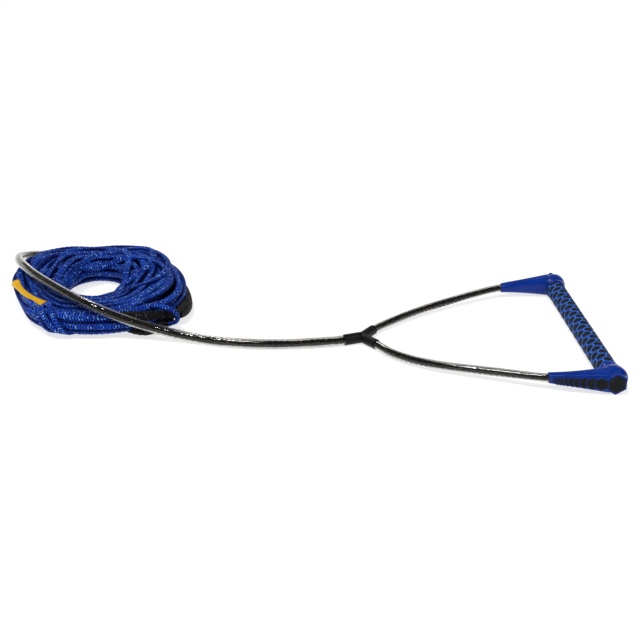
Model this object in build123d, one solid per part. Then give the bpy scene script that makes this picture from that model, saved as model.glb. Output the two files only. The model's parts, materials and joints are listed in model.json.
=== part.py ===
from build123d import *
import os
from math import cos, pi, radians, sin, tan

# A water-ski and wakeboard tow handle, lying flat with its line coiled beside it.
# Millimetres, +Z up, the surface it lies on is Z = 0. The bar runs along Y at the +X end and the
# line leads away towards -X. "left" is the end at -Y and "right" the end at +Y.
# Origin: bottom centre of the handle, bridle and Y, without the free line.

# ---- driving dimensions -------------------------------------------------------------------
HANDLE_WIDTH = 382.0        # over both end caps
GRIP_LENGTH = 301.0         # between the two cap collars
GRIP_RADIUS = 14.5
BAR_RADIUS = 9.5            # outside of the aluminium tube
BAR_WALL = 1.6
BAR_INSERT = 16.0           # how far the tube goes into each cap

HEX_RADIUS = 16.8           # corner radius of the cap's six-sided end, which it lies on
BADGE_RADIUS = 13.2         # raised hexagon on the end
BADGE_PROUD = 1.5
COLLAR_RADIUS = 16.3
COLLAR_LIP = 5.0
NECK_RADIUS = 15.2
ARM_LENGTH = 89.0           # bar axis to the mouth of the cap's arm
ARM_TIP_RADIUS = 7.7
ARM_TIP_Y = 164.5
ARM_TIP_Z = 17.0

LEG_RADIUS = 6.35           # outside of the clear hose over each bridle leg
LEG_BORE = 4.75
LEG_ROPE_RADIUS = 4.1
TRUNK_RADIUS = 7.5          # outside of the clear hose over the single line
TRUNK_BORE = 5.75
TRUNK_ROPE_RADIUS = 5.2
LINE_ROPE_RADIUS = 5.5      # black rope where it leaves the hose
BLUE_LOOP_RADIUS = 3.6

JUNCTION_X = -333.0         # middle of the Y, measured from the bar axis
TRUNK_SLEEVE = 28.0         # length of each sleeve, from that middle to its mouth
LEG_SLEEVE = 33.0
TRUNK_SLEEVE_RADIUS = 8.4
LEG_SLEEVE_RADIUS = 7.5
SLEEVE_SEAM = 0.05          # half the gap where two sleeves meet
JUNCTION_Z = TRUNK_SLEEVE_RADIUS
LEG_ANGLE = 53.0            # between each leg's sleeve and +X
TRUNK_ANGLE = 18.0          # between the trunk's sleeve and -X, turned towards -Y

SOCKET_GAP = 5.6            # from a mouth to the centre of the hose's ball end
CHANNEL_GAP = 0.4           # between a rope and the channel it runs in
SPLICE_KNOT_RADIUS = 6.0
SPLICE_INSET = 3.2          # how far each end of the splice stays inside its mouth

COIL_CENTRE = (-752.0, 185.0)
COIL_HALF = (141.0, 156.0)
COIL_HOLE_HALF = (48.0, 74.0)
COIL_HEIGHT = 46.0
COIL_EDGE = 20.0

# The bar axis stands this far to +X of the origin, so that the origin is the middle.
TRUNK_TURN = radians(TRUNK_ANGLE)
REACH = -JUNCTION_X + TRUNK_SLEEVE * cos(TRUNK_TURN) + TRUNK_SLEEVE_RADIUS * sin(TRUNK_TURN)
BAR_X = (REACH - COLLAR_RADIUS) / 2
BAR_Z = HEX_RADIUS

# ---- routes, as points measured from the bar axis in X, and from the origin in Y and Z ------
TRUNK_ROUTE = [
    (-396, -14, 8.2), (-441, -17, 7.7), (-492, -15, 7.7), (-541, -5, 7.7), (-580, 8, 8.4),
    (-614, 17, 12.5), (-645, 23, 19.5), (-674, 26, 28), (-702, 26.5, 39.5), (-729, 31, 50.5),
    (-757, 47, 57), (-787, 80, 58.8), (-817, 118, 58.8), (-846, 159, 57.8), (-869, 202, 54.8),
    (-885, 247, 48.5), (-892, 292, 40), (-885, 333, 30), (-862, 365, 19), (-827, 384, 11.2),
    (-788, 391, 8.2), (-748, 389, 7.7),
]
TAIL_ROUTE = [
    (-747, 389, 7.7), (-706, 379, 6.3), (-667, 354, 5.8), (-634, 316, 5.6), (-611, 270, 5.8),
    (-600, 222, 6.2), (-597, 174, 8.5), (-600, 130, 12), (-611, 92, 18), (-632, 63, 25.5),
    (-662, 47, 31.5), (-698, 42, 34), (-736, 51, 31), (-760, 75, 24), (-753, 101, 16),
    (-726, 106, 10.5), (-703, 88, 7), (-684, 62, 6.2), (-658, 47, 9), (-636, 52, 13.5), (-619, 73, 9.5),
]
LEG_ROUTES = {
    "left": [(-296, -56, 8.9), (-268, -83, 9.6), (-233, -105, 10.8), (-192, -122, 12.2), (-150, -139, 14)],
    "right": [(-291, 48, 9), (-261, 73, 9.8), (-224, 99, 11), (-183, 122, 12.7), (-141, 144, 14.6)],
}
MAINLINE_EYE_ROUTE = [
    (-682, 92, 44), (-658, 70, 45), (-634, 57, 43), (-612, 52, 34), (-604, 52, 19),
    (-615, 57, 6), (-638, 65, 3.8), (-664, 78, 3.8),
]
MARKER_ROUTE = [(-882, 166, 41), (-866, 133, 42.5), (-843, 98, 43), (-814, 68, 42)]
SPLICE_ROUTE = [(-598, 160, 9.6), (-601, 128, 12.3), (-609, 98, 17)]
SPLICE_RADIUS = 8.4
MARKER_RADIUS = 4.6
MARKER_END_RADIUS = 6.4


# ---- small helpers ------------------------------------------------------------------------
def place(points):
    """Route points in the part's own frame."""
    return [Vector(BAR_X + x, y, z) for x, y, z in points]


def corner_radii(points):
    """The largest tangent arc that the two runs at each corner allow."""
    radii = []
    for before, corner, after in zip(points, points[1:], points[2:]):
        run_in = corner - before
        run_out = after - corner
        turn = radians(run_in.get_angle(run_out))
        radii.append(0.45 * min(run_in.length, run_out.length) / tan(turn / 2))
    return radii


def route_path(points, name):
    radii = corner_radii(points)
    path = FilletPolyline(*points, radius=radii)
    rounded = [round(radius) for radius in radii]
    print(f"{name}: {path.length:.0f} mm long, arc radii {rounded}")
    return path


def rope_along(path, radius, bore=0.0):
    """A round rope or hose along a path, hollow if it has a bore."""
    section = Plane(origin=path @ 0, z_dir=path % 0) * Circle(radius)
    if bore:
        section -= Plane(origin=path @ 0, z_dir=path % 0) * Circle(bore)
    solid = sweep(section, path=path)
    expected = pi * (radius**2 - bore**2) * path.length
    print(f"   radius {radius}: volume {solid.volume:.0f}, section x length {expected:.0f}")
    return solid


def hexagon(plane, radius):
    """A six-sided outline with a corner at the top and one at the bottom of the plane."""
    return plane * RegularPolygon(radius, 6, rotation=90)


def rod(start, end, radius):
    """A round rod between two points."""
    start, end = Vector(*start), Vector(*end)
    run = end - start
    return extrude(Plane(origin=start, z_dir=run) * Circle(radius), run.length)


def ball(centre, radius):
    return Pos(*centre) * Sphere(radius)


# ---- the handle ---------------------------------------------------------------------------
FACE_Y = HANDLE_WIDTH / 2 - BADGE_PROUD
BAR_TUBE_HALF = GRIP_LENGTH / 2 + BAR_INSERT
CORNER_Y = 173.5            # where the rope turns from the arm into the bar
ROPE_TURN = 10.0
FACE_SLOPE = (FACE_Y - 1.0 - (ARM_TIP_Y + ARM_TIP_RADIUS)) / (ARM_LENGTH - 14.0)
SCALE_COUNT = 9
SCALE_THICKNESS = 1.5


def arm_outside(distance):
    """|Y| of the arm's outer face, at a distance from the bar axis."""
    return ARM_TIP_Y + ARM_TIP_RADIUS + FACE_SLOPE * (ARM_LENGTH - distance)


def arm_section(distance, half_y, half_z, corner):
    """One cross-section of the arm, square to X, with its outer face on the sloping face."""
    height = BAR_Z + (ARM_TIP_Z - BAR_Z) * distance / ARM_LENGTH
    plane = Plane(
        origin=(BAR_X - distance, arm_outside(distance) - half_y, height),
        x_dir=(0, 1, 0),
        z_dir=(1, 0, 0),
    )
    return plane * RectangleRounded(2 * half_y, 2 * half_z, corner)


def arm_half_height(distance):
    return 15.4 - (15.4 - ARM_TIP_RADIUS) * ((distance - 14.0) / (ARM_LENGTH - 14.0)) ** 0.8


def turned(profile):
    """A solid of revolution about the bar axis from (radius, Y) points."""
    outline = [(BAR_X + radius, y, BAR_Z) for radius, y in profile]
    axis = Axis((BAR_X, 0, BAR_Z), (0, 1, 0))
    return revolve(make_face(Polyline(*outline, close=True)), axis, 360)


def cap_rope_points(overrun=0.0):
    """The rope's line inside the right-hand cap: the arm's mouth, the corner and the bar."""
    return [
        (BAR_X - ARM_LENGTH - overrun, ARM_TIP_Y, ARM_TIP_Z),
        (BAR_X, CORNER_Y, BAR_Z),
        (BAR_X, GRIP_LENGTH / 2 - overrun, BAR_Z),
    ]


def cap_inlay():
    """The row of overlapping scales along the arm's outer face, growing towards the bar."""
    scales = None
    distance = 21.0
    step = 12.0
    for _ in range(SCALE_COUNT):
        plane = Plane(
            origin=(BAR_X - distance, arm_outside(distance), BAR_Z - distance / ARM_LENGTH),
            x_dir=(1, FACE_SLOPE, 0),
            z_dir=(-FACE_SLOPE, 1, 0),
        )
        outline = hexagon(plane, 0.7 * arm_half_height(distance))
        scale = extrude(outline, -SCALE_THICKNESS)
        scales = scale if scales is None else scales + scale
        distance += step
        step *= 0.87
    return scales


def cap_badge():
    plane = Plane(origin=(BAR_X, FACE_Y - 1.0, BAR_Z), x_dir=(-1, 0, 0), z_dir=(0, 1, 0))
    return extrude(hexagon(plane, BADGE_RADIUS), BADGE_PROUD + 1.0)


def cap_body(inlay, badge):
    """The right-hand moulded cap: collar, neck, six-sided end and arm, with the rope's way in."""
    collar_y = GRIP_LENGTH / 2
    neck = turned([
        (0, collar_y), (COLLAR_RADIUS, collar_y), (COLLAR_RADIUS, collar_y + COLLAR_LIP),
        (NECK_RADIUS, collar_y + COLLAR_LIP + 3), (NECK_RADIUS, FACE_Y - 8), (0, FACE_Y - 8),
    ])
    end_plane = Plane(origin=(BAR_X, FACE_Y, BAR_Z), x_dir=(-1, 0, 0), z_dir=(0, 1, 0))
    end = extrude(hexagon(end_plane, HEX_RADIUS), -14.0)
    arm = loft([
        arm_section(ARM_LENGTH, ARM_TIP_RADIUS, ARM_TIP_RADIUS, ARM_TIP_RADIUS - 0.1),
        arm_section(60.0, 9.0, arm_half_height(60.0), 7.4),
        arm_section(35.0, 11.4, arm_half_height(35.0), 7.6),
        arm_section(8.0, 15.0, 15.6, 8.0),
    ])
    body = neck + end + arm
    channel_path = FilletPolyline(*cap_rope_points(1.0), radius=ROPE_TURN)
    body -= rope_along(channel_path, LEG_ROPE_RADIUS + CHANNEL_GAP)
    body -= rod((BAR_X, BAR_TUBE_HALF, BAR_Z), (BAR_X, collar_y - 1, BAR_Z), BAR_RADIUS + 0.05)
    return body - inlay - badge


def bar_rope():
    """The bridle rope's middle: in at one arm, along the bar and out at the other arm."""
    tip, corner, _ = cap_rope_points(-2.5)
    right = [tip, corner]
    left = [(x, -y, z) for x, y, z in reversed(right)]
    path = FilletPolyline(*right, *left, radius=ROPE_TURN)
    return rope_along(path, LEG_ROPE_RADIUS)


# ---- the bridle ---------------------------------------------------------------------------
LEG_TURN = radians(LEG_ANGLE)
TRUNK_WAY = Vector(-cos(TRUNK_TURN), -sin(TRUNK_TURN), 0)
LEG_WAYS = {
    "left": Vector(cos(LEG_TURN), -sin(LEG_TURN), 0),
    "right": Vector(cos(LEG_TURN), sin(LEG_TURN), 0),
}
JUNCTION = Vector(BAR_X + JUNCTION_X, 0, JUNCTION_Z)


def leg_points(side):
    """The leg's line, from the ball end at its sleeve to the ball end at the cap's arm."""
    direction = 1 if side == "right" else -1
    start = JUNCTION + LEG_WAYS[side] * (LEG_SLEEVE + SOCKET_GAP)
    end = (-ARM_LENGTH - SOCKET_GAP, direction * ARM_TIP_Y, ARM_TIP_Z)
    return [start, *place([*LEG_ROUTES[side], end])]


def bridle_leg(side):
    """One leg: the clear hose with a ball end at each mouth, and the rope inside it."""
    points = leg_points(side)
    path = route_path(points, f"{side} leg")
    outer = rope_along(path, LEG_RADIUS)
    outer += ball(points[0], LEG_RADIUS) + ball(points[-1], LEG_RADIUS)
    hose = outer - rope_along(path, LEG_BORE)
    return hose, rope_along(path, LEG_ROPE_RADIUS)


def rope_ways(overrun, gap):
    """The three ropes that meet in the Y, as one solid; an overrun below 0 stops inside a mouth."""
    solid = ball(JUNCTION, SPLICE_KNOT_RADIUS + gap)
    trunk_end = JUNCTION + TRUNK_WAY * (TRUNK_SLEEVE + overrun)
    solid += rod(JUNCTION, trunk_end, TRUNK_ROPE_RADIUS + gap)
    for way in LEG_WAYS.values():
        solid += rod(JUNCTION, JUNCTION + way * (LEG_SLEEVE + overrun), LEG_ROPE_RADIUS + gap)
    return solid


def leg_sleeve(side):
    """One leg's sleeve, mitred against the other leg's sleeve."""
    way = LEG_WAYS[side]
    direction = 1 if side == "right" else -1
    tube = rod(JUNCTION - way * LEG_SLEEVE, JUNCTION + way * LEG_SLEEVE, LEG_SLEEVE_RADIUS)
    half_room = Box(4 * LEG_SLEEVE, 2 * LEG_SLEEVE, 4 * LEG_SLEEVE)
    mitre = Pos(JUNCTION.X, direction * (LEG_SLEEVE + SLEEVE_SEAM), JUNCTION.Z) * half_room
    return (tube & mitre) - rope_ways(2, CHANNEL_GAP)


def trunk_sleeve():
    """The single line's sleeve, hollowed at its inner end to sit against the legs' sleeves."""
    sleeve = rod(JUNCTION, JUNCTION + TRUNK_WAY * TRUNK_SLEEVE, TRUNK_SLEEVE_RADIUS)
    for way in LEG_WAYS.values():
        seat = LEG_SLEEVE_RADIUS + SLEEVE_SEAM
        sleeve -= rod(JUNCTION - way * seat, JUNCTION + way * LEG_SLEEVE, seat)
    return sleeve - rope_ways(2, CHANNEL_GAP)


# ---- the line -----------------------------------------------------------------------------
def trunk():
    """The clear hose over the single line, with a ball end at the Y, and the rope inside it."""
    points = [JUNCTION + TRUNK_WAY * (TRUNK_SLEEVE + SOCKET_GAP), *place(TRUNK_ROUTE)]
    path = route_path(points, "trunk")
    outer = rope_along(path, TRUNK_RADIUS) + ball(points[0], TRUNK_RADIUS)
    hose = outer - rope_along(path, TRUNK_BORE)
    return hose, rope_along(path, TRUNK_ROPE_RADIUS)


def mainline_coil():
    """The outer shape of the coiled line: a low oval ring with round edges."""
    plane = Plane(origin=(BAR_X + COIL_CENTRE[0], COIL_CENTRE[1], 0))
    ring = plane * Ellipse(*COIL_HALF) - plane * Ellipse(*COIL_HOLE_HALF)
    solid = extrude(ring, COIL_HEIGHT)
    return fillet(solid.edges().filter_by(GeomType.ELLIPSE), COIL_EDGE)


def section_marker():
    """The sleeve that marks a length of the line, wider at its ends than in its middle."""
    points = place(MARKER_ROUTE)
    path = route_path(points, "section marker")
    solid = rope_along(path, MARKER_RADIUS)
    for at, inward in ((0, 1), (1, -1)):
        end = path @ at
        along = (path % at) * inward
        flare = loft([
            Plane(origin=end, z_dir=along) * Circle(MARKER_END_RADIUS),
            Plane(origin=end + along * 14, z_dir=along) * Circle(MARKER_RADIUS),
        ])
        solid += flare
    return solid


def build():
    """Every separate piece of the object, by name."""
    parts = {}
    tube = turned([
        (BAR_RADIUS - BAR_WALL, -BAR_TUBE_HALF), (BAR_RADIUS, -BAR_TUBE_HALF),
        (BAR_RADIUS, BAR_TUBE_HALF), (BAR_RADIUS - BAR_WALL, BAR_TUBE_HALF),
    ])
    parts["bar_tube"] = tube
    half = GRIP_LENGTH / 2
    parts["grip_sleeve"] = turned([
        (BAR_RADIUS + 0.05, -half), (GRIP_RADIUS, -half), (GRIP_RADIUS, half), (BAR_RADIUS + 0.05, half),
    ])
    parts["bar_rope"] = bar_rope()
    inlay = cap_inlay()
    badge = cap_badge()
    cap = cap_body(inlay, badge)
    for name, piece in (("end_cap", cap), ("cap_inlay", inlay), ("cap_badge", badge)):
        parts[f"right_{name}"] = piece
        parts[f"left_{name}"] = mirror(piece, Plane.XZ)
    for side in ("left", "right"):
        hose, rope = bridle_leg(side)
        parts[f"{side}_leg_hose"] = hose
        parts[f"{side}_leg_rope"] = rope
        parts[f"{side}_leg_sleeve"] = leg_sleeve(side)
    parts["trunk_sleeve"] = trunk_sleeve()
    parts["y_splice"] = rope_ways(-SPLICE_INSET, 0)
    parts["trunk_hose"], parts["trunk_rope"] = trunk()
    parts["tail_rope"] = rope_along(route_path(place(TAIL_ROUTE), "tail"), LINE_ROPE_RADIUS)
    splice_path = route_path(place(SPLICE_ROUTE), "tail splice")
    parts["tail_splice"] = rope_along(splice_path, SPLICE_RADIUS, LINE_ROPE_RADIUS + 0.1)
    parts["mainline_coil"] = mainline_coil()
    eye_path = route_path(place(MAINLINE_EYE_ROUTE), "mainline eye")
    parts["mainline_eye"] = rope_along(eye_path, BLUE_LOOP_RADIUS)
    parts["section_marker"] = section_marker()
    return parts


os.makedirs("parts", exist_ok=True)
for part_name, part in build().items():
    export_step(part, f"parts/{part_name}.step")
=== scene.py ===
import json
from math import cos, pi, radians, sin

import bmesh
import bpy
import numpy as np
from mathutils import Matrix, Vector, noise


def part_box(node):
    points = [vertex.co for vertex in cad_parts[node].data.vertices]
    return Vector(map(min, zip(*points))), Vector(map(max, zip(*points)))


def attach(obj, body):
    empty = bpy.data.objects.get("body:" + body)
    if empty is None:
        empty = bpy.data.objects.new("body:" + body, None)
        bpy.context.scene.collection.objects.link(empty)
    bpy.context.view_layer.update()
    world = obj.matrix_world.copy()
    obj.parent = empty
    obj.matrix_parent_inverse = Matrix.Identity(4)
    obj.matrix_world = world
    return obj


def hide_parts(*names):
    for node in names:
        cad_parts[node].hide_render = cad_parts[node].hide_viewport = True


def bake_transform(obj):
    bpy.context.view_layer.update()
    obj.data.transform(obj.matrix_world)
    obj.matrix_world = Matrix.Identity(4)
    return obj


# The looks of a water-ski and wakeboard tow handle: grip, moulded caps, clear-hosed rope bridle,
# Y sleeves, hosed line, black tail rope and a coiled main line. Everything is in metres.

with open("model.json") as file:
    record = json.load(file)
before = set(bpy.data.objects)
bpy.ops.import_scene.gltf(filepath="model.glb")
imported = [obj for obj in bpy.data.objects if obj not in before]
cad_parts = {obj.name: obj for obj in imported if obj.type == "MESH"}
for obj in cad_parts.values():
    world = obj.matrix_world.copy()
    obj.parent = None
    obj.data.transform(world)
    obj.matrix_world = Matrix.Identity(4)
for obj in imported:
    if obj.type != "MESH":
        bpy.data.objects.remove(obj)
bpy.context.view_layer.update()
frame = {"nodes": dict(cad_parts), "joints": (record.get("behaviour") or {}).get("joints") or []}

# ---- places that come from the frame ------------------------------------------------------
GRIP_LOW, GRIP_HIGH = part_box("grip_sleeve")
BAR_X = (GRIP_LOW.x + GRIP_HIGH.x) / 2
BAR_Z = (GRIP_LOW.z + GRIP_HIGH.z) / 2
GRIP_RADIUS = (GRIP_HIGH.z - GRIP_LOW.z) / 2
GRIP_HALF = GRIP_HIGH.y
PIVOTS = {joint["name"]: Vector(joint["pos_m"]) for joint in frame["joints"]}
TRUNK_PIVOT = PIVOTS["trunk_swing"]
LIFT_PIVOT = PIVOTS["bridle_lift"]
TILT_PIVOT = PIVOTS["handle_tilt"]
SIDES = {"left": -1, "right": 1}

# ---- cord routes: X from the bar axis, Y and Z from the origin ------------------------------
TRUNK_ROUTE = [
    (-0.396, -0.014, 0.0082), (-0.441, -0.017, 0.0077), (-0.492, -0.015, 0.0077),
    (-0.541, -0.005, 0.0077), (-0.580, 0.008, 0.0084), (-0.614, 0.017, 0.0125),
    (-0.645, 0.023, 0.0195), (-0.674, 0.026, 0.028), (-0.702, 0.0265, 0.0395),
    (-0.729, 0.031, 0.0505), (-0.757, 0.047, 0.057), (-0.787, 0.080, 0.0588),
    (-0.817, 0.118, 0.0588), (-0.846, 0.159, 0.0578), (-0.869, 0.202, 0.0548),
    (-0.888, 0.246, 0.0490), (-0.898, 0.288, 0.041), (-0.894, 0.326, 0.030),
    (-0.870, 0.355, 0.019), (-0.833, 0.376, 0.0112), (-0.791, 0.386, 0.0082),
    (-0.748, 0.387, 0.0077),
]
TAIL_ROUTE = [
    (-0.753, 0.3865, 0.0077), (-0.725, 0.384, 0.0074), (-0.697, 0.369, 0.0062), (-0.672, 0.341, 0.0058),
    (-0.649, 0.302, 0.0056), (-0.631, 0.258, 0.0058), (-0.614, 0.216, 0.0065),
    (-0.603, 0.167, 0.0090), (-0.601, 0.119, 0.0118), (-0.611, 0.081, 0.017),
    (-0.632, 0.060, 0.0255), (-0.662, 0.044, 0.0315), (-0.698, 0.040, 0.034),
    (-0.736, 0.051, 0.031), (-0.760, 0.075, 0.024), (-0.753, 0.101, 0.016),
    (-0.726, 0.106, 0.0105), (-0.706, 0.078, 0.007), (-0.686, 0.045, 0.0062),
    (-0.658, 0.033, 0.0085), (-0.637, 0.050, 0.0140), (-0.622, 0.072, 0.0105),
]
LEG_ROUTES = {
    "left": [
        (-0.296, -0.056, 0.0089), (-0.268, -0.083, 0.0096), (-0.233, -0.105, 0.0108),
        (-0.192, -0.122, 0.0122), (-0.150, -0.139, 0.014),
    ],
    "right": [
        (-0.291, 0.048, 0.009), (-0.261, 0.073, 0.0098), (-0.224, 0.099, 0.011),
        (-0.183, 0.122, 0.0127), (-0.141, 0.144, 0.0146),
    ],
}
MAINLINE_EYE_ROUTE = [
    (-0.690, 0.090, 0.028), (-0.667, 0.075, 0.034), (-0.644, 0.062, 0.0405), (-0.621, 0.053, 0.0385),
    (-0.610, 0.050, 0.027), (-0.615, 0.052, 0.014), (-0.634, 0.063, 0.0095), (-0.660, 0.078, 0.0080),
]
MARKER_ROUTE = [
    (-0.878, 0.164, 0.041), (-0.864, 0.132, 0.0425), (-0.843, 0.099, 0.043), (-0.816, 0.069, 0.042),
]
SPLICE_ROUTE = [(-0.604, 0.156, 0.0105), (-0.6015, 0.118, 0.0120), (-0.613, 0.077, 0.0180)]

# ---- cord sizes: each rope is an oval of this width and thickness ----------------------------
LEG_OUTSIDE = 0.00635
LEG_BORE = 0.00475
LEG_ROPE_WIDTH = 0.0090
LEG_ROPE_THICKNESS = 0.0080
TRUNK_OUTSIDE = 0.0075
TRUNK_BORE = 0.00575
TRUNK_ROPE_WIDTH = 0.0104
TRUNK_ROPE_THICKNESS = 0.0086
ROPE_SAG = np.array([0, 0, -0.0003])    # the rope lies a little low in its hose
TAIL_WIDTH = 0.0136
TAIL_THICKNESS = 0.0096
SPLICE_WIDTH = 0.0205
SPLICE_THICKNESS = 0.0180
EYE_WIDTH = 0.0086
EYE_THICKNESS = 0.0056
WRAP_WIDTH = 0.0100
WRAP_THICKNESS = 0.0056
ROPE_STEP = 0.0015          # between the rings of a rope that is seen

LEG_BALL_Y = 0.03083        # half the distance between the two hose ends at the Y
SOCKET_REACH = 0.012        # how far each hose goes in from its hinge
LEG_TURN = radians(53)      # between each leg's sleeve and +X
TRUNK_TURN = radians(18)    # between the trunk's sleeve and -X
ARM_TURN = radians(5.8)     # between the cap's arm and +X
ARM_TIP_Y = 0.1645
LEG_BEND = 0.05             # the stretch at each end of a leg
BEND_OVERLAP = 0.004        # how far that end stretch reaches into its socket

# ---- the coil -------------------------------------------------------------------------------
COIL_X = -0.752
COIL_Y = 0.185
HOLE_HALF_X = 0.044
HOLE_HALF_Y = 0.073
HOLE_POWER = 1.6            # under 2, so the hole has pointed ends
# Outer radius of the coil every 30 degrees, anticlockwise from +X.
OUTER_RADII = [0.147, 0.144, 0.151, 0.147, 0.164, 0.166, 0.136, 0.131, 0.154, 0.163, 0.170, 0.161]
# Height of the coil at the same places.
HEIGHTS = [0.052, 0.057, 0.056, 0.046, 0.053, 0.057, 0.048, 0.045, 0.048, 0.046, 0.045, 0.048]
POINTS_A_TURN = 16
SHELL_TURNS = 21
INNER_TURNS = 9
RIDER_TURNS = 5
STRAND_WIDTH = 0.0116
STRAND_THICKNESS = 0.0066
FINE_STEP = 0.0021          # between the rings of the turns that are seen
HIDDEN_STEP = 0.005         # between the rings of the turns inside the bundle
SHELL_START = 0.80          # where the first turn lies, as a share of the way round the bundle
SECTION_HALF_WIDTH = 0.043  # of the bundle's section, roughly, to space the turns evenly
SECTION_HALF_HEIGHT = 0.020
HOSE_OVER_FROM = radians(150)   # the hose lies on the coil between these two angles
HOSE_OVER_TO = radians(295)
LINE_START = radians(300)       # the main line's first point, near its eye


# ---- lines ----------------------------------------------------------------------------------
def place(route):
    """Route points in the shared frame."""
    return [Vector((BAR_X + x, y, z)) for x, y, z in route]


def spline_line(points):
    """Points read along a smooth spline that has the given control points."""
    data = bpy.data.curves.new("route", "CURVE")
    data.dimensions = "3D"
    data.resolution_u = 12
    spline = data.splines.new("NURBS")
    spline.points.add(len(points) - 1)
    for control, point in zip(spline.points, points):
        control.co = (*point, 1.0)
    spline.order_u = 3
    spline.use_endpoint_u = True
    holder = bpy.data.objects.new("route", data)
    mesh = bpy.data.meshes.new_from_object(holder)
    line = np.array([v.co for v in mesh.vertices], float)
    bpy.data.objects.remove(holder)
    bpy.data.curves.remove(data)
    bpy.data.meshes.remove(mesh)
    return line


def distances(line):
    """How far along the line each of its points is."""
    steps = np.linalg.norm(np.diff(line, axis=0), axis=1)
    return np.concatenate([[0.0], np.cumsum(steps)])


def resampled(values, old, new):
    """Rows of values given at the old distances, read at the new ones."""
    return np.stack([np.interp(new, old, column) for column in values.T], axis=1)


def even(line, spacing):
    """The same line with evenly spaced points."""
    old = distances(line)
    new = np.linspace(0, old[-1], max(2, round(old[-1] / spacing) + 1))
    return resampled(line, old, new)


def unit(rows):
    """The rows as directions of length 1."""
    return rows / np.maximum(np.linalg.norm(rows, axis=1, keepdims=True), 1e-12)


def tangents(line):
    """The direction of the line at each point."""
    return unit(np.gradient(line, axis=0))


def square_to(along, outward):
    """The outward directions, made square to the line."""
    return unit(outward - along * np.sum(along * outward, axis=1, keepdims=True))


def upward(line):
    """Outward directions that point up, for a rope that lies flat."""
    return square_to(tangents(line), np.tile([0.0, 0.0, 1.0], (len(line), 1)))


def rolled(line, outward, angles):
    """Outward directions turned about the line by an angle at each point."""
    side = np.cross(tangents(line), outward)
    return outward * np.cos(angles)[:, None] + side * np.sin(angles)[:, None]


def above_the_floor(line, outward, width, thickness):
    """The line, raised where a flat rope of this size would reach below the floor."""
    side = np.cross(tangents(line), outward)
    reach = np.abs(side[:, 2]) * width / 2 + np.abs(outward[:, 2]) * thickness / 2
    raised = line.copy()
    raised[:, 2] = np.maximum(line[:, 2], 1.12 * reach + 0.0003)
    return raised


def ripple(distance, wavelength, seed):
    """Smooth noise along a line, from about -1 to 1."""
    return np.array([noise.noise(Vector((d / wavelength, seed, 0.5))) for d in distance]) * 1.6


# ---- meshes ---------------------------------------------------------------------------------
def mesh_object(name, vertices, faces, smooth=True):
    """A new object in the scene."""
    mesh = bpy.data.meshes.new(name)
    mesh.from_pydata(vertices, [], faces)
    mesh.validate()
    if smooth:
        mesh.shade_smooth()
    obj = bpy.data.objects.new(name, mesh)
    bpy.context.scene.collection.objects.link(obj)
    return obj


def ring_faces(rings, sides, inward=False):
    """Quads between neighbouring rings, as vertex numbers."""
    ring = np.arange(rings - 1)[:, None]
    side = np.arange(sides)[None, :]
    after = ring + 1
    beside = (side + 1) % sides
    corners = [ring * sides + side, ring * sides + beside, after * sides + beside, after * sides + side]
    quads = np.stack(np.broadcast_arrays(*corners), axis=-1).reshape(-1, 4)
    return quads[:, ::-1] if inward else quads


def swept(line, outward, wide, thin):
    """Vertices of rings round a line: wide and thin are offsets to the side and outward."""
    side = np.cross(tangents(line), outward)
    return line[:, None, :] + side[:, None, :] * wide[..., None] + outward[:, None, :] * thin[..., None]


def add_uv(obj, rings, sides, along):
    """UV: U is the distance along the line in metres, V goes once round it from 0 to 1."""
    layer = obj.data.uv_layers.new(name="UVMap")
    loops = np.zeros(len(obj.data.loops), int)
    obj.data.loops.foreach_get("vertex_index", loops)
    u = along[np.minimum(loops // sides, rings - 1)]
    v = (loops % sides) / sides
    count = (len(loops) // 4) * 4
    quad = v[:count].reshape(-1, 4)
    wraps = (quad.max(axis=1) - quad.min(axis=1)) > 0.5
    quad[wraps] = np.where(quad[wraps] < 0.5, quad[wraps] + 1.0, quad[wraps])
    v[:count] = quad.reshape(-1)
    layer.data.foreach_set("uv", np.stack([u, v], axis=1).astype(np.float32).reshape(-1))


def braided_rope(name, line, outward, width, thickness, sides=12, pitch=0.008, relief=0.0004):
    """A flat hollow braid: an oval section whose two faces carry V-shaped ridges."""
    along = distances(line)
    angle = np.linspace(0, 2 * pi, sides, endpoint=False)[None, :]
    across = np.cos(angle)
    through = np.sin(angle)
    ridge = np.abs(np.sin(pi * (along[:, None] / pitch + 0.55 * np.abs(across))))
    swell = 1 + 0.06 * ripple(along, 0.06, len(line) % 17)[:, None]
    lift = relief * (1.6 * ridge - 1)
    wide = np.sign(across) * np.abs(across) ** 0.85 * (width / 2 * swell + 0.6 * lift)
    thin = np.sign(through) * np.abs(through) ** 0.75 * (thickness / 2 / swell + lift)
    rings = swept(line, outward, wide, thin).reshape(-1, 3)
    obj = mesh_object(name, rings, ring_faces(len(line), sides).tolist())
    add_uv(obj, len(line), sides, along)
    close_ends(obj)
    return obj


def close_ends(obj):
    """Fills the two open ends of a tube, and turns every face outward."""
    mesh = bmesh.new()
    mesh.from_mesh(obj.data)
    bmesh.ops.holes_fill(mesh, edges=[e for e in mesh.edges if e.is_boundary], sides=0)
    bmesh.ops.recalc_face_normals(mesh, faces=mesh.faces)
    mesh.to_mesh(obj.data)
    mesh.free()


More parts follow.
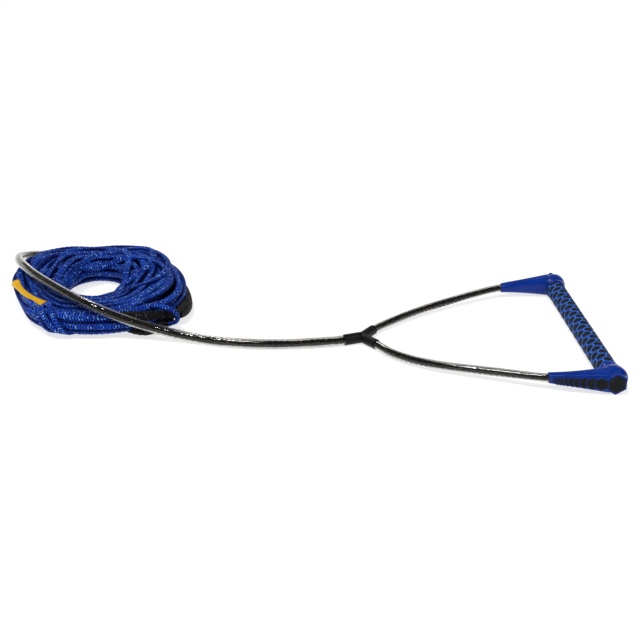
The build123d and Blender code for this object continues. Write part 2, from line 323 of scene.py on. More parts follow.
def clear_tube(name, line, outside, bore, first_end, last_end, sides=32):
    """A hose with a real wall. A closed end has a ring between its outer and inner surfaces."""
    outward = upward(line)
    angle = np.linspace(0, 2 * pi, sides, endpoint=False)[None, :]
    count = len(line)
    rings = []
    for radius in (outside, bore):
        wide = np.cos(angle) * np.full((count, 1), radius)
        thin = np.sin(angle) * np.full((count, 1), radius)
        rings.append(swept(line, outward, wide, thin).reshape(-1, 3))
    outer = ring_faces(count, sides)
    inner = ring_faces(count, sides, inward=True) + count * sides
    faces = outer.tolist() + inner.tolist()
    for closed, ring in ((first_end, 0), (last_end, count - 1)):
        for side in range(sides if closed else 0):
            beside = (side + 1) % sides
            here = ring * sides
            there = (count + ring) * sides
            quad = [here + side, there + side, there + beside, here + beside]
            faces.append(quad if ring == 0 else quad[::-1])
    obj = mesh_object(name, np.concatenate(rings), faces)
    mesh = bmesh.new()
    mesh.from_mesh(obj.data)
    mesh.faces.ensure_lookup_table()
    first_face = mesh.faces[0]
    outwards = first_face.calc_center_median() - Vector(line[0])
    if first_face.normal.dot(outwards) < 0:
        bmesh.ops.reverse_faces(mesh, faces=mesh.faces[:])
    mesh.to_mesh(obj.data)
    mesh.free()
    return obj


# ---- materials ------------------------------------------------------------------------------
class Look:
    """A node material under construction."""

    def __init__(self, name, **shader_values):
        self.material = bpy.data.materials.new(name)
        self.material.use_nodes = True
        self.tree = self.material.node_tree
        self.shader = self.tree.nodes["Principled BSDF"]
        for socket, value in shader_values.items():
            self.shader.inputs[socket.replace("_", " ")].default_value = value

    def node(self, kind, values=None, **settings):
        made = self.tree.nodes.new("ShaderNode" + kind)
        for setting, value in settings.items():
            setattr(made, setting, value)
        for socket, value in (values or {}).items():
            if isinstance(value, bpy.types.NodeSocket):
                self.tree.links.new(value, made.inputs[socket])
            else:
                made.inputs[socket].default_value = value
        return made.outputs[0]

    def math(self, operation, first, second=0.0):
        return self.node("Math", {0: first, 1: second}, operation=operation)

    def noise(self, scale, detail=3.0, vector=None, roughness=0.5):
        values = {"Scale": scale, "Detail": detail, "Roughness": roughness}
        values["Vector"] = vector or self.position()
        return self.node("TexNoise", values)

    def position(self):
        return self.tree.nodes.new("ShaderNodeTexCoord").outputs["Object"]

    def uv(self):
        return self.tree.nodes.new("ShaderNodeTexCoord").outputs["UV"]

    def spread(self, value, low, high, new_low=0.0, new_high=1.0):
        values = {"Value": value, "From Min": low, "From Max": high, "To Min": new_low, "To Max": new_high}
        return self.node("MapRange", values)

    def mix(self, factor, first, second):
        made = self.tree.nodes.new("ShaderNodeMix")
        made.data_type = "RGBA"
        for socket, value in ((0, factor), (6, first), (7, second)):
            if isinstance(value, bpy.types.NodeSocket):
                self.tree.links.new(value, made.inputs[socket])
            else:
                made.inputs[socket].default_value = value
        return made.outputs[2]

    def link(self, socket, value):
        self.tree.links.new(value, self.shader.inputs[socket])

    def bump(self, height, distance, strength=1.0):
        values = {"Height": height, "Distance": distance, "Strength": strength}
        self.link("Normal", self.node("Bump", values))


def rgb(red, green, blue):
    """A display colour from 0 to 255, as linear light."""
    linear = [((c / 255 + 0.055) / 1.055) ** 2.4 if c > 10 else c / 255 / 12.92 for c in (red, green, blue)]
    return (*linear, 1.0)


def braid_look(name, dark, body, bright, glint, pitch=0.0046, columns=4, glint_share=0.9):
    """Woven rope: V-shaped ridges of shiny flat fibres, with painted shade in the grooves and at the rope's
    edges, and painted glints.
    """
    look = Look(name, Specular_IOR_Level=0.08)
    parts = look.tree.nodes.new("ShaderNodeSeparateXYZ")
    look.tree.links.new(look.uv(), parts.inputs[0])
    along, round_it = parts.outputs[0], parts.outputs[1]
    around = look.math("PINGPONG", look.math("MULTIPLY", round_it, columns), 1.0)
    phase = look.math("ADD", look.math("DIVIDE", along, pitch), around)
    wave = look.math("SINE", look.math("MULTIPLY", phase, 2 * pi))
    ridge = look.spread(wave, -0.8, 0.5)
    blotch = look.spread(look.noise(45.0), 0.35, 0.65)
    # Painted shade: the grooves between the ridges take the dark colour. The blotches are random tone.
    tone = look.mix(ridge, dark, look.mix(blotch, body, bright))
    # Painted shade at the rope's two edges, where it lies against its neighbours.
    face = look.math("ABSOLUTE", look.math("SINE", look.math("MULTIPLY", round_it, 2 * pi)))
    tone = look.mix(look.spread(face, 0.15, 0.75, 0.75, 0.0), tone, dark)
    # Painted glints: small specks of the glint colour on the tops of the ridges, on the rope's faces.
    glint_along = look.math("MULTIPLY", along, 330.0)
    glint_around = look.math("MULTIPLY", around, 2.6)
    glint_grid = look.node("CombineXYZ", {0: glint_along, 1: glint_around})
    glint_speck = look.spread(look.noise(1.0, 1.0, vector=glint_grid), 0.55, 0.64)
    shine = look.math("MULTIPLY", glint_speck, look.spread(wave, -0.2, 0.7))
    shine = look.math("MULTIPLY", shine, look.spread(face, 0.3, 0.8))
    look.link("Base Color", look.mix(look.math("MULTIPLY", shine, glint_share), tone, glint))
    look.link("Roughness", look.spread(shine, 0.0, 1.0, 0.55, 0.3))
    fibre = look.math("MULTIPLY", look.noise(2200.0, 1.0), 0.25)
    look.bump(look.math("ADD", ridge, fibre), 0.0006, 0.8)
    return look.material


def moulded_look(name, deep, bright, roughness, coat, specular):
    """Glossy moulded plastic with faint flow marks and small scuffs."""
    look = Look(name, Coat_Weight=coat, Coat_Roughness=0.05, Specular_IOR_Level=specular)
    flow = look.spread(look.noise(28.0, 4.0, roughness=0.6), 0.35, 0.7)
    look.link("Base Color", look.mix(flow, deep, bright))
    scuff = look.noise(150.0, 4.0, roughness=0.7)
    look.link("Roughness", look.spread(scuff, 0.4, 0.75, roughness, roughness + 0.05))
    look.bump(look.noise(95.0, 2.0), 0.0008, 0.35)
    return look.material


def rubber_look(name, dark, pale, roughness, grain=1400.0, depth=0.00012, specular=0.15):
    """Satin rubber with a fine moulded grain."""
    look = Look(name, Specular_IOR_Level=specular)
    wear = look.spread(look.noise(60.0, 5.0), 0.35, 0.75)
    look.link("Base Color", look.mix(wear, dark, pale))
    texture = look.noise(grain, 3.0)
    look.link("Roughness", look.spread(texture, 0.3, 0.7, roughness - 0.1, roughness + 0.12))
    look.bump(texture, depth, 0.6)
    return look.material


def hose_look():
    """Clear flexible PVC, a little hazy."""
    look = Look("clear_pvc", Transmission_Weight=1.0, IOR=1.38, Specular_IOR_Level=0.6)
    haze = look.spread(look.noise(30.0, 3.0), 0.4, 0.7)
    look.link("Base Color", look.mix(haze, rgb(228, 226, 221), rgb(208, 206, 200)))
    look.link("Roughness", look.spread(look.noise(160.0, 4.0), 0.4, 0.7, 0.02, 0.07))
    return look.material


def bar_look():
    """Drawn aluminium with fine lines along it."""
    look = Look("drawn_aluminium", Metallic=1.0)
    stretch = look.node("Mapping", {"Vector": look.position(), "Scale": (1200.0, 15.0, 1200.0)})
    lines = look.noise(1.0, 2.0, vector=stretch)
    look.link("Base Color", look.mix(lines, rgb(165, 168, 172), rgb(205, 207, 210)))
    look.link("Roughness", look.spread(lines, 0.3, 0.7, 0.25, 0.4))
    look.bump(lines, 0.00003, 0.5)
    return look.material


def web_look():
    """The grip's blue rubber web, with a painted highlight on its raised rims and painted shade in its
    hollows.
    """
    look = Look("grip_web", Specular_IOR_Level=0.15)
    attribute = look.tree.nodes.new("ShaderNodeAttribute")
    attribute.attribute_name = "height"
    height = attribute.outputs["Fac"]
    # Painted shade in the hollows and a painted highlight on the rims, picked by the web's height.
    tone = look.mix(look.spread(height, 0.0, 0.4), rgb(6, 36, 112), rgb(14, 66, 158))
    tone = look.mix(look.spread(height, 0.5, 1.0), tone, rgb(72, 124, 206))
    look.link("Base Color", tone)
    grain = look.noise(1500.0, 2.0)
    look.link("Roughness", look.spread(grain, 0.3, 0.7, 0.42, 0.6))
    look.bump(grain, 0.00008, 0.5)
    return look.material


def floor_look():
    """A white surface that glows, so that only soft shadows show on it."""
    look = Look("studio_floor", Specular_IOR_Level=0.1, Emission_Strength=FLOOR_GLOW)
    look.shader.inputs["Emission Color"].default_value = (1.0, 1.0, 1.0, 1.0)
    shade = look.noise(1.5, 2.0)
    look.link("Base Color", look.mix(shade, rgb(164, 164, 164), rgb(170, 170, 170)))
    look.link("Roughness", look.spread(shade, 0.0, 1.0, 0.7, 0.8))
    return look.material


# In each rope look, the first colour is painted shade for the grooves and edges, and the last colour is a
# painted glint.
BLUE_ROPE = braid_look("blue_braid", rgb(2, 12, 62), rgb(4, 44, 146), rgb(10, 68, 190), rgb(125, 180, 250))
BLACK_ROPE = braid_look(
    "black_braid", rgb(3, 3, 4), rgb(10, 10, 11), rgb(24, 24, 25), rgb(120, 120, 120), glint_share=0.3
)
CAP_BLUE = moulded_look("cap_blue", rgb(1, 36, 118), rgb(2, 48, 140), 0.16, 0.10, 0.15)
MARKER_YELLOW = moulded_look("marker_yellow", rgb(206, 154, 6), rgb(224, 174, 16), 0.34, 0.02, 0.2)
INLAY_BLACK = rubber_look("inlay_black", rgb(8, 9, 12), rgb(16, 18, 22), 0.5, specular=0.15)
PAD_BLACK = rubber_look("pad_black", rgb(14, 13, 11), rgb(26, 25, 22), 0.6, specular=0.12)
SLEEVE_BLACK = rubber_look("sleeve_black", rgb(2, 2, 3), rgb(10, 10, 11), 0.45, 700.0, 0.0002, 0.2)
CLEAR_HOSE = hose_look()
BAR_METAL = bar_look()
WEB_BLUE = web_look()


def finish_piece(obj, look, body=None):
    """Gives a piece its material and slot, and lets it ride on a body."""
    obj.data.materials.clear()
    obj.data.materials.append(look)
    if body:
        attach(obj, body)
    return obj


# ---- the line's pieces ----------------------------------------------------------------------
def trunk():
    """The clear hose over the single line and the rope inside it, bending between Y and line."""
    inward = Vector((cos(TRUNK_TURN), sin(TRUNK_TURN), 0)) * SOCKET_REACH
    route = [TRUNK_PIVOT + inward, TRUNK_PIVOT, *place(TRUNK_ROUTE)]
    line = even(spline_line(route), 0.004)
    hose = clear_tube("trunk_hose_clear", line, TRUNK_OUTSIDE, TRUNK_BORE, True, True)
    finish_piece(hose, CLEAR_HOSE)
    fine = even(line, ROPE_STEP)
    turned = rolled(fine, upward(fine), 0.9 * ripple(distances(fine), 0.05, 3.0))
    rope = braided_rope(
        "trunk_rope_braid", fine + ROPE_SAG, turned, TRUNK_ROPE_WIDTH, TRUNK_ROPE_THICKNESS,
        pitch=0.009, relief=0.0005,
    )
    finish_piece(rope, BLACK_ROPE)
    for piece, node in ((hose, "trunk_hose"), (rope, "trunk_rope")):
        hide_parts(node)
        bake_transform(piece)


def bridle_leg(side):
    """One leg in two halves: one at the Y and the other at the cap."""
    sign = SIDES[side]
    start = Vector((LIFT_PIVOT.x, sign * LEG_BALL_Y, LIFT_PIVOT.z))
    end = Vector((TILT_PIVOT.x, sign * ARM_TIP_Y, TILT_PIVOT.z))
    into_sleeve = Vector((-cos(LEG_TURN), -sign * sin(LEG_TURN), 0)) * SOCKET_REACH
    into_arm = Vector((cos(ARM_TURN), sign * sin(ARM_TURN), 0)) * SOCKET_REACH
    route = [start + into_sleeve, start, *place(LEG_ROUTES[side]), end, end + into_arm]
    line = even(spline_line(route), 0.003)
    middle = len(line) // 2
    fine = even(line, 0.0014)
    fine_middle = int(np.argmin(np.linalg.norm(fine - line[middle], axis=1)))
    outward = rolled(fine, upward(fine), 0.5 * ripple(distances(fine), 0.06, 5.0 + sign))
    rope_line = fine + ROPE_SAG
    bend = Vector((LEG_BEND, 0, 0))
    overlap = Vector((BEND_OVERLAP, 0, 0))
    lift = ("y_body", "bridle", LIFT_PIVOT - overlap, LIFT_PIVOT + bend)
    tilt = ("bridle", "handle", TILT_PIVOT - bend, TILT_PIVOT + overlap)
    halves = (
        ("y_end", slice(0, middle + 1), slice(0, fine_middle + 1), lift, start),
        ("cap_end", slice(middle, None), slice(fine_middle, None), tilt, end),
    )
    for half, coarse_part, fine_part, (first, second, bend_start, bend_end), leaves in halves:
        at_y = half == "y_end"
        path = line[coarse_part]
        hose = clear_tube(f"{side}_leg_hose_{half}", path, LEG_OUTSIDE, LEG_BORE, at_y, not at_y)
        finish_piece(hose, CLEAR_HOSE)
        rope = braided_rope(
            f"{side}_leg_rope_{half}", rope_line[fine_part], outward[fine_part],
            LEG_ROPE_WIDTH, LEG_ROPE_THICKNESS,
        )
        finish_piece(rope, BLACK_ROPE)
        for piece, node in ((hose, f"{side}_leg_hose"), (rope, f"{side}_leg_rope")):
            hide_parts(node)
            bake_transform(piece)


def tail():
    """The black rope that comes out of the hose, with its thick splice."""
    line = even(spline_line(place(TAIL_ROUTE)), ROPE_STEP)
    along = distances(line)
    facing = square_to(tangents(line), np.tile([0.0, -0.8, 0.6], (len(line), 1)))
    outward = rolled(line, facing, 0.4 * ripple(along, 0.12, 9.0))
    line = above_the_floor(line, outward, TAIL_WIDTH, TAIL_THICKNESS)
    sides = 14
    rope = braided_rope(
        "tail_rope_braid", line, outward, TAIL_WIDTH, TAIL_THICKNESS, sides, pitch=0.009, relief=0.0006
    )
    inside_the_hose = 0.72
    scale_rings(rope, line, np.clip(inside_the_hose + along / 0.04, inside_the_hose, 1.0), sides)
    finish_piece(rope, BLACK_ROPE, "tow_line")
    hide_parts("tail_rope")

    splice_line = even(spline_line(place(SPLICE_ROUTE)), ROPE_STEP)
    splice_along = distances(splice_line)
    share = splice_along / splice_along[-1]
    narrower_ends = 1 - 0.35 * np.abs(2 * share - 1) ** 2.5
    splice_sides = 18
    splice = braided_rope(
        "tail_splice_braid", splice_line, upward(splice_line), SPLICE_WIDTH, SPLICE_THICKNESS,
        splice_sides, pitch=0.010, relief=0.0008,
    )
    scale_rings(splice, splice_line, narrower_ends, splice_sides)
    finish_piece(splice, BLACK_ROPE, "tow_line")
    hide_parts("tail_splice")


def scale_rings(obj, line, factors, sides):
    """Makes a swept tube thicker or thinner, ring by ring."""
    for ring, (centre, factor) in enumerate(zip(line, factors)):
        middle = Vector(centre)
        for vertex in obj.data.vertices[ring * sides:(ring + 1) * sides]:
            vertex.co = middle + (vertex.co - middle) * factor


def mainline_eye():
    """The small spliced loop at the near end of the main line, round the black rope."""
    line = even(spline_line(place(MAINLINE_EYE_ROUTE)), ROPE_STEP)
    outward = rolled(line, upward(line), 0.5 + 0.4 * ripple(distances(line), 0.05, 21.0))
    line = above_the_floor(line, outward, EYE_WIDTH, EYE_THICKNESS)
    eye = braided_rope("mainline_eye_braid", line, outward, EYE_WIDTH, EYE_THICKNESS, pitch=0.007)
    finish_piece(eye, BLUE_ROPE, "tow_line")
    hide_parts("mainline_eye")
    return eye


def section_marker():
    """The yellow sleeve round one turn of the line, wider at its two ends."""
    sides = 20
    line = even(spline_line(place(MARKER_ROUTE)), 0.002)
    share = distances(line) / distances(line)[-1]
    radius = 0.0036 + 0.0026 * np.abs(2 * share - 1) ** 3
    angle = np.linspace(0, 2 * pi, sides, endpoint=False)[None, :]
    outward = rolled(line, upward(line), np.full(len(line), 0.5))
    wide = 1.25 * np.cos(angle) * radius[:, None]
    thin = 0.85 * np.sin(angle) * radius[:, None]
    rings = swept(line, outward, wide, thin).reshape(-1, 3)
    marker = mesh_object("section_marker_sleeve", rings, ring_faces(len(line), sides).tolist())
    close_ends(marker)
    finish_piece(marker, MARKER_YELLOW, "tow_line")
    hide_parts("section_marker")
    return marker


# ---- the coil -------------------------------------------------------------------------------
def round_the_coil(values, angle):
    """Reads a list of values that are evenly spaced round the coil, smoothly."""
    step = 2 * pi / len(values)
    index = int(angle // step) % len(values)
    share = (angle % step) / step
    before, here, after, later = (values[(index + k - 1) % len(values)] for k in range(4))
    slope_here = (after - before) / 2
    slope_after = (later - here) / 2
    change = after - here
    return (
        here + slope_here * share
        + (3 * change - 2 * slope_here - slope_after) * share**2
        + (slope_here + slope_after - 2 * change) * share**3
    )


def outline_point(around, half_width, half_height):
    """A point of the bundle's rounded section, and its outward direction, as (radial, up)."""
    c, s = cos(around), sin(around)
    radial = half_width * abs(c) ** 0.8 * (1 if c > 0 else -1)
    up = half_height * abs(s) ** 0.8 * (1 if s > 0 else -1)
    return (radial, up), (c * half_height, s * half_width)


def even_angles(steps=120):
    """Section angles at equal shares of the way round the bundle's outline."""
    points = [
        outline_point(2 * pi * k / steps, SECTION_HALF_WIDTH, SECTION_HALF_HEIGHT)[0]
        for k in range(steps + 1)
    ]
    way = distances(np.array(points))
    return way / way[-1], np.linspace(0, 2 * pi, steps + 1)


SECTION_SHARES, SECTION_ANGLES = even_angles()


def coil_point(angle, share, depth):
    """A point of the coil and the direction out of the bundle there."""
    outer = round_the_coil(OUTER_RADII, angle)
    hole_x = abs(cos(angle) / HOLE_HALF_X) ** HOLE_POWER
    hole_y = abs(sin(angle) / HOLE_HALF_Y) ** HOLE_POWER
    hole = (hole_x + hole_y) ** (-1 / HOLE_POWER)
    height = round_the_coil(HEIGHTS, angle)
    around = float(np.interp(share % 1.0, SECTION_SHARES, SECTION_ANGLES))
    half_width = (outer - hole) / 2 - depth
    half_height = height / 2 - depth
    (radial, up), (out_radial, out_up) = outline_point(around, half_width, half_height)
    radius = (outer + hole) / 2 + radial
    point = Vector((BAR_X + COIL_X + radius * cos(angle), COIL_Y + radius * sin(angle), height / 2 + up))
    out = Vector((out_radial * cos(angle), out_radial * sin(angle), out_up)).normalized()
    return point, out


def bell(value, low, high, edge):
    """1 between low and high, falling to 0 over an edge on both sides."""
    rise = min(1.0, max(0.0, (value - low + edge) / edge))
    fall = min(1.0, max(0.0, (high + edge - value) / edge))
    return rise * rise * (3 - 2 * rise) * fall * fall * (3 - 2 * fall)


def shell_slot(turn, angle):
    """Where a turn of the bundle's outside lies: share of the way round it, and depth.

    Turns gather into groups and wander, more on top of the bundle and on its loose far side.
    """
    group = noise.noise(Vector((turn / 2.7, 1.3 * cos(angle), 1.3 * sin(angle) + 5.0)))
    wander = noise.noise(Vector((turn * 1.9, 3.1, 0.0)))
    sway = noise.noise(Vector((turn * 2.3, 7.7, 0.0)))
    loose = 1 + 0.5 * max(0.0, cos(angle - radians(35)))
    share = SHELL_START + turn / SHELL_TURNS
    on_top = bell(share % 1.0, 0.04, 0.48, 0.12)
    share += (0.025 + 0.075 * on_top) * group + (0.008 + 0.022 * on_top) * wander * loose
    return share, 0.0052 + 0.0062 * sway * loose


def inner_slot(turn):
    """A turn inside the bundle."""
    wander = noise.noise(Vector((turn * 1.3, 11.0, 0.0)))
    return 0.51 + 2.1 * turn / INNER_TURNS + 0.05 * wander, 0.0105 + 0.0050 * turn / INNER_TURNS


def rider_slot(turn, angle):
    """A loose turn that crosses the others on top of the bundle, and dips under the hose."""
    swing = sin(angle + 2.5 * turn)
    wander = noise.noise(Vector((turn * 2.3, 17.0, 0.0)))
    under_hose = bell(angle % (2 * pi), HOSE_OVER_FROM, HOSE_OVER_TO, radians(30))
    share = 0.30 + 0.19 * swing + 0.04 * wander
    return share, 0.0012 + 0.0056 * under_hose


def eased(first, second, share):
    """Between two slots, with a gentle start and end."""
    share = min(1.0, max(0.0, share))
    share = share * share * (3 - 2 * share)
    return tuple(a + (b - a) * share for a, b in zip(first, second))


def coil_controls():
    """Control points of the whole main line, turn after turn, with the way out of the bundle."""
    inner_end = SHELL_TURNS + INNER_TURNS
    controls = []
    for step in range((inner_end + RIDER_TURNS) * POINTS_A_TURN + 1):
        turn = step / POINTS_A_TURN
        angle = LINE_START + 2 * pi * turn
        slot = shell_slot(turn, angle)
        if turn > SHELL_TURNS:
            slot = eased(slot, inner_slot(turn - SHELL_TURNS), (turn - SHELL_TURNS) * 2)
        if turn > inner_end:
            inside = inner_slot(turn - SHELL_TURNS)
            slot = eased(inside, rider_slot(turn - inner_end, angle), (turn - inner_end) * 2)
        controls.append(coil_point(angle, *slot))
    return controls


# The far end's loops round the bundle, as (angle round the coil in degrees, share, depth).
WRAP_SLOTS = [
    (231, 0.13, 0.007), (237, 0.10, 0.001), (243, 0.03, -0.0012), (248, 0.95, -0.0010), (252, 0.89, 0.002),
    (256, 0.86, 0.007), (259, 0.90, 0.002), (255, 0.97, -0.0030), (249, 0.03, -0.0040), (243, 0.08, -0.001),
    (240, 0.13, 0.004), (245, 0.15, 0.001), (251, 0.08, -0.0012), (256, 0.01, -0.0030), (260, 0.93, -0.0005),
    (264, 0.88, 0.005), (271, 0.88, 0.010),
]


def far_wrap():
    """The line's far end, wrapped round the bundle's strands to hold the coil."""
    slots = [coil_point(radians(angle), share, depth) for angle, share, depth in WRAP_SLOTS]
    line = even(spline_line([point for point, _ in slots]), ROPE_STEP)
    outs = np.array([out for _, out in slots])
    steps = np.linspace(0, len(slots) - 1, len(line))
    outward = square_to(tangents(line), resampled(outs, np.arange(len(slots)), steps))
    line = above_the_floor(line, outward, STRAND_WIDTH, STRAND_THICKNESS)
    wrap = braided_rope(
        "mainline_far_wrap", line, outward, WRAP_WIDTH, WRAP_THICKNESS, pitch=0.0075, relief=0.0005
    )
    finish_piece(wrap, BLUE_ROPE, "tow_line")
    return wrap


def mainline():
    """The coiled main line: one flat braid from its eye to its far end."""
    controls = coil_controls()
    raw = spline_line([point for point, _ in controls])
    outs = np.array([out for _, out in controls])
    place_in_controls = np.linspace(0, len(controls) - 1, len(raw))
    raw_out = resampled(outs, np.arange(len(controls)), place_in_controls)
    way = distances(raw)
    turns = SHELL_TURNS + INNER_TURNS + RIDER_TURNS
    shell_end = way[-1] * SHELL_TURNS / turns
    riders_start = way[-1] * (SHELL_TURNS + INNER_TURNS) / turns
    wanted = np.concatenate([
        np.arange(0, shell_end, FINE_STEP),
        np.arange(shell_end, riders_start, HIDDEN_STEP),
        np.arange(riders_start, way[-1], FINE_STEP),
    ])
    line = resampled(raw, way, wanted)
    outward = square_to(tangents(line), resampled(raw_out, way, wanted))
    # The strand rolls about itself most on top of the bundle and on its left side.
    left_side = np.clip((BAR_X + COIL_X - 0.02 - line[:, 0]) / 0.06, 0, 1)
    on_top = np.clip(0.5 + 1.5 * outward[:, 2], 0.15, 1)
    outward = rolled(line, outward, (0.55 + 0.45 * left_side) * on_top * ripple(wanted, 0.11, 13.0))
    line = above_the_floor(line, outward, STRAND_WIDTH, STRAND_THICKNESS)
    rope = braided_rope(
        "mainline_braid", line, outward, STRAND_WIDTH, STRAND_THICKNESS, 10, pitch=0.0085, relief=0.0005
    )
    finish_piece(rope, BLUE_ROPE, "tow_line")
    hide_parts("mainline_coil")
    return rope, line


# ---- the handle -----------------------------------------------------------------------------
PAD_COLUMNS = 11
PAD_PITCH = 0.0251
PAD_OFFSET = -0.0035
PAD_HALF_LONG = 0.0072
PAD_FAR_BULGE = 0.0058
PAD_NEAR_BULGE = 0.0044
SHIFT_OF_A_COLUMN = 6 / 11      # as a share of the pitch, so neighbouring columns interlock
WEB_DEPTH = 0.0010              # of the hollows between the pads' rims


def pad_centres():
    """The pads' middles as (angle round the bar, distance along it)."""
    centres = []
    for column in range(PAD_COLUMNS):
        angle = 2 * pi * column / PAD_COLUMNS
        shift = (column * SHIFT_OF_A_COLUMN) % 1.0
        for row in range(-8, 9):
            along = (row + shift) * PAD_PITCH + PAD_OFFSET
            if abs(along) < GRIP_HALF - 0.001:
                centres.append((angle, along))
    return centres


def bar_point(angle, along, radius):
    """A point round the bar: angle 0 faces -X and 90 degrees faces up."""
    return (BAR_X - radius * cos(angle), along, BAR_Z + radius * sin(angle))


def grip_pads():
    """The black leaf-shaped pads, each a low dome with a skirt that goes into the web."""
    sides = 20
    dome = 0.0004
    rings = ((0.45, dome), (0.8, 0.00032), (0.95, 0.0001), (1.0, -0.0003), (1.0, -0.0011))
    vertices = []
    faces = []
    for angle, along in pad_centres():
        centre = len(vertices)
        vertices.append(bar_point(angle, along, GRIP_RADIUS + dome))
        for size, level in rings:
            for k in range(sides):
                turn = 2 * pi * k / sides
                bulge = PAD_FAR_BULGE if sin(turn) > 0 else -PAD_NEAR_BULGE
                y = along + size * bulge * abs(sin(turn)) ** 0.85
                y = max(0.0005 - GRIP_HALF, min(GRIP_HALF - 0.0005, y))
                away = angle - size * cos(turn) * PAD_HALF_LONG / GRIP_RADIUS
                vertices.append(bar_point(away, y, GRIP_RADIUS + level))
        for k in range(sides):
            beside = (k + 1) % sides
            faces.append((centre, centre + 1 + k, centre + 1 + beside))
            for ring in range(len(rings) - 1):
                inner = centre + 1 + ring * sides
                outer = inner + sides
                faces.append((inner + k, outer + k, outer + beside, inner + beside))
    pads = mesh_object("grip_pads", vertices, faces)
    outwards = pads.data.vertices[0].co - Vector((BAR_X, vertices[0][1], BAR_Z))
    if pads.data.polygons[0].normal.dot(outwards) < 0:
        pads.data.flip_normals()
    finish_piece(pads, PAD_BLACK, "handle")


def grip_web():
    """The blue rubber tube with a raised rim round every pad and hollows between the rims."""
    rounds = 150
    lengths = 460
    angles = np.linspace(0, 2 * pi, rounds, endpoint=False)
    alongs = np.linspace(-GRIP_HALF, GRIP_HALF, lengths)
    angle, along = np.meshgrid(angles, alongs)
    nearest = np.full(angle.shape, 9.0)
    for pad_angle, pad_along in pad_centres():
        turn = (angle - pad_angle + pi) % (2 * pi) - pi
        across = turn * GRIP_RADIUS / PAD_HALF_LONG
        away = along - pad_along
        bulge = np.where(away > 0, PAD_FAR_BULGE, PAD_NEAR_BULGE)
        size = np.sqrt(across**2 + (away / bulge) ** 2)
        nearest = np.minimum(nearest, size)
    rim = np.exp(-(((nearest - 1.13) / 0.09) ** 2))
    hollow = np.clip((nearest - 1.3) / 0.2, 0, 1)
    height = np.clip(0.35 + 0.65 * rim - 0.35 * hollow, 0, 1)
    inside_pad = nearest < 0.95
    height[inside_pad] = 0.1
    radius = GRIP_RADIUS - WEB_DEPTH + WEB_DEPTH * height
    vertices = np.stack([BAR_X - radius * np.cos(angle), along, BAR_Z + radius * np.sin(angle)], axis=-1)
    web = mesh_object("grip_web", vertices.reshape(-1, 3), ring_faces(lengths, rounds).tolist())
    # The height also picks the web's painted shade and painted highlight.
    attribute = web.data.attributes.new("height", "FLOAT", "POINT")
    attribute.data.foreach_set("value", height.reshape(-1).astype(np.float32))
    close_ends(web)
    finish_piece(web, WEB_BLUE, "handle")
    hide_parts("grip_sleeve")


def smooth_copy(node, name, voxel, rounds, domes=()):
    """A copy of a CAD piece, joined with domes, with its edges rounded as a moulding's are."""
    source = frame["nodes"][node]
    obj = bpy.data.objects.new(name, source.data.copy())
    bpy.context.scene.collection.objects.link(obj)
    mesh = bmesh.new()
    mesh.from_mesh(obj.data)
    bmesh.ops.remove_doubles(mesh, verts=mesh.verts, dist=1e-6)
    for centre, radius, flatness in domes:
        ball = bmesh.ops.create_icosphere(mesh, subdivisions=4, radius=radius)
        bmesh.ops.scale(mesh, verts=ball["verts"], vec=(1, flatness, 1))
        bmesh.ops.translate(mesh, verts=ball["verts"], vec=centre)
    mesh.to_mesh(obj.data)
    mesh.free()
    remesh = obj.modifiers.new("even", "REMESH")
    remesh.mode = "VOXEL"
    remesh.voxel_size = voxel
    remesh.use_smooth_shade = True
    smooth = obj.modifiers.new("round", "SMOOTH")
    smooth.factor = 0.5
    smooth.iterations = rounds
    bpy.context.view_layer.update()
    evaluated = obj.evaluated_get(bpy.context.evaluated_depsgraph_get())
    obj.data = bpy.data.meshes.new_from_object(evaluated)
    obj.modifiers.clear()
    obj.data.shade_smooth()
    return obj


# The rounded shoulder of the cap: along from the collar, up, away from the arm, and flatness.
SHOULDER_DOMES = (
    (0.0145, 0.0004, 0.0006, 1.0),
    (0.0185, 0.0010, 0.0018, 0.95),
    (0.0230, 0.0010, 0.0024, 0.76),
)
ARM_LENGTH = 0.089
ARM_TIP_RADIUS = 0.0077
ARM_ROOT_HALF = 0.0154      # half the arm's height where it leaves the six-sided end
ARM_ROOT_AT = 0.014         # distance from the bar's axis to that place
FACE_SLOPE = 0.2173         # of the arm's outer face, sideways over lengthways
SCALE_FIRST = 0.0205        # from the bar's axis to the first scale
SCALE_STEP = 0.0118         # to the next one
SCALE_SHRINK = 0.85         # each step is this much of the one before it
SCALE_COUNT = 9
SCALE_RIM = 0.0009          # the blue edge round each scale
BADGE_RADIUS = 0.0132
BADGE_BEVEL = 0.0008
PLATE_SKIRT = -0.0012       # how far a plate goes into the face under it
PLATE_BEVEL = 0.0003


def hexagon_plate(builder, centre, along, up, normal, radius, thickness, bevel):
    """Adds a six-sided plate with a bevelled upper edge; its top is thickness above centre."""
    profile = (
        (radius, PLATE_SKIRT),
        (radius, thickness - bevel),
        (radius - bevel, thickness),
        (0.0, thickness),
    )
    rings = []
    for size, level in profile:
        if size == 0.0:
            rings.append([builder.verts.new(centre + normal * level)])
            continue
        ring = []
        for corner in range(6):
            angle = radians(90 + 60 * corner)
            offset = along * cos(angle) * size + up * sin(angle) * size
            ring.append(builder.verts.new(centre + offset + normal * level))
        rings.append(ring)
    for below, above in zip(rings, rings[1:]):
        for corner in range(6):
            beside = (corner + 1) % 6
            if len(above) == 1:
                builder.faces.new((below[corner], below[beside], above[0]))
            else:
                builder.faces.new((below[corner], below[beside], above[beside], above[corner]))


def arm_half_height(distance):
    """Half the arm's height at a distance from the bar's axis."""
    share = (distance - ARM_ROOT_AT) / (ARM_LENGTH - ARM_ROOT_AT)
    return ARM_ROOT_HALF - (ARM_ROOT_HALF - ARM_TIP_RADIUS) * share**0.8


